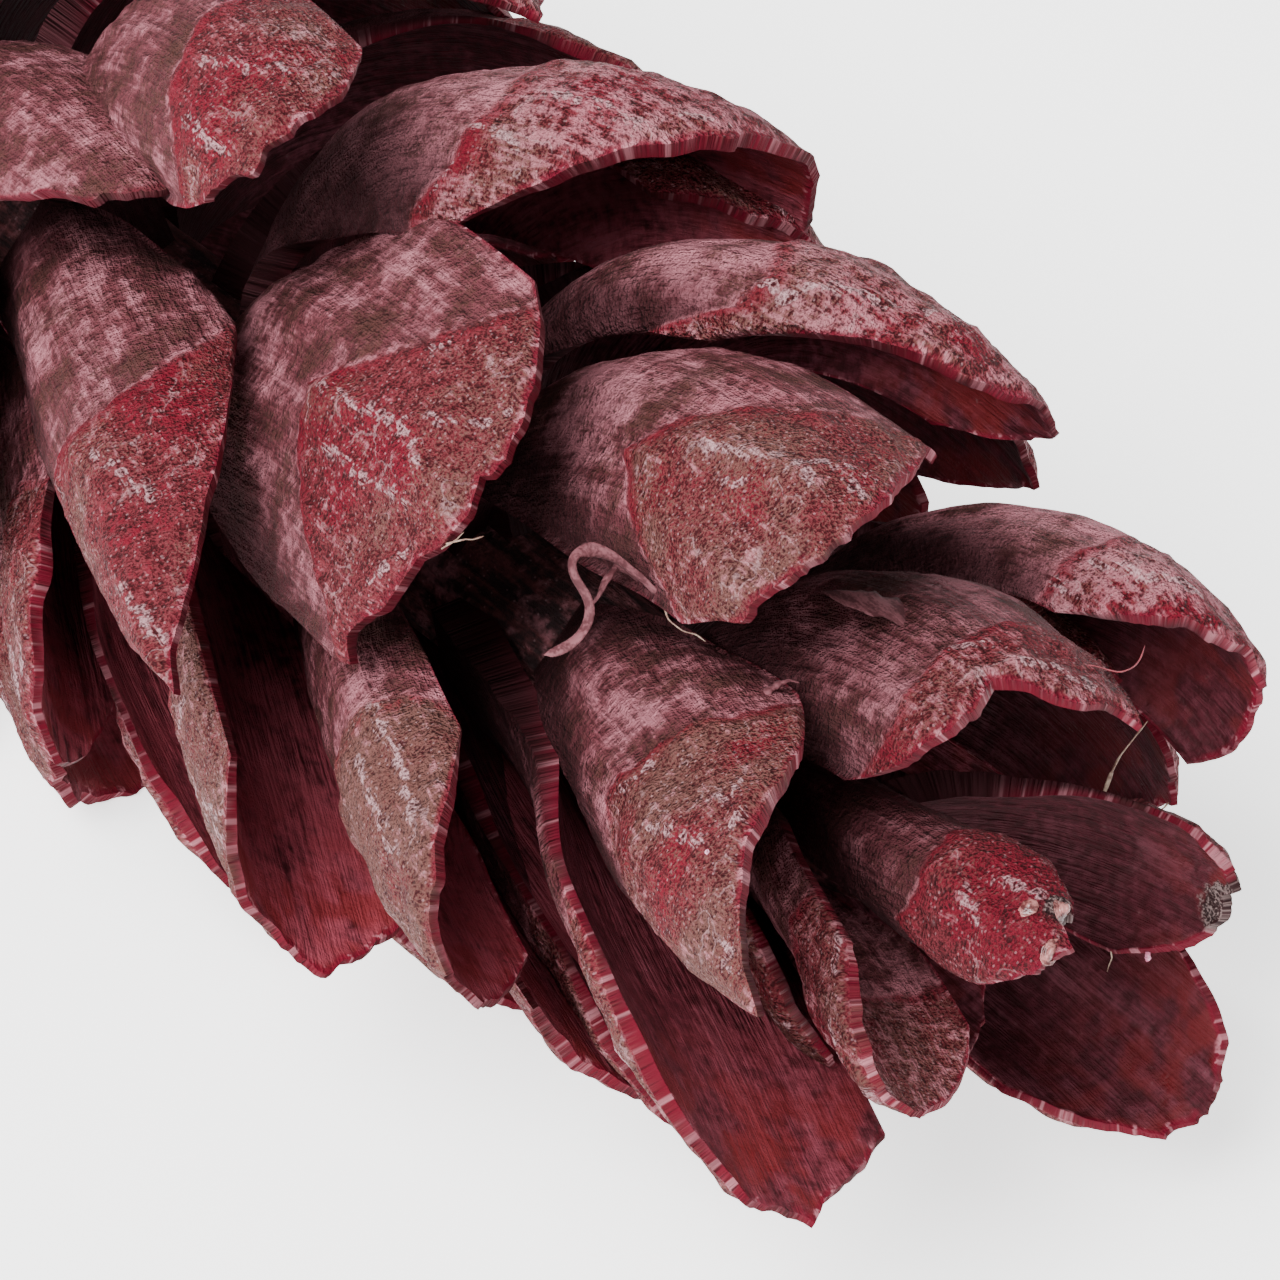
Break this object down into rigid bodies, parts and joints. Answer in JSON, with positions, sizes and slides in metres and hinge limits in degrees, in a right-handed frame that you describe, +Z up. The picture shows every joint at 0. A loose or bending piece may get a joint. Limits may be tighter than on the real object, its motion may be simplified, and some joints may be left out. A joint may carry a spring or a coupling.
{
  "type": "pine cone",
  "caption": "Opened pine cone dyed burgundy, lying on its side, with thin cupped scales in a spiral round a short stalked rachis.",
  "frame": {"origin": "on the ground, under the middle of the cone's box", "axes": "+X along the cone from its stalk to its tip, +Z up as the cone lies"},
  "size_m": [0.124, 0.0464, 0.0483],
  "materials": {
    "dyed_scale": "dyed dull burgundy with crimson scale ends, dusty whitish resin marks and darker insides"
  },
  "bodies": {
    "root": {"pine_cone": "dyed_scale"}
  },
  "joints": []
}
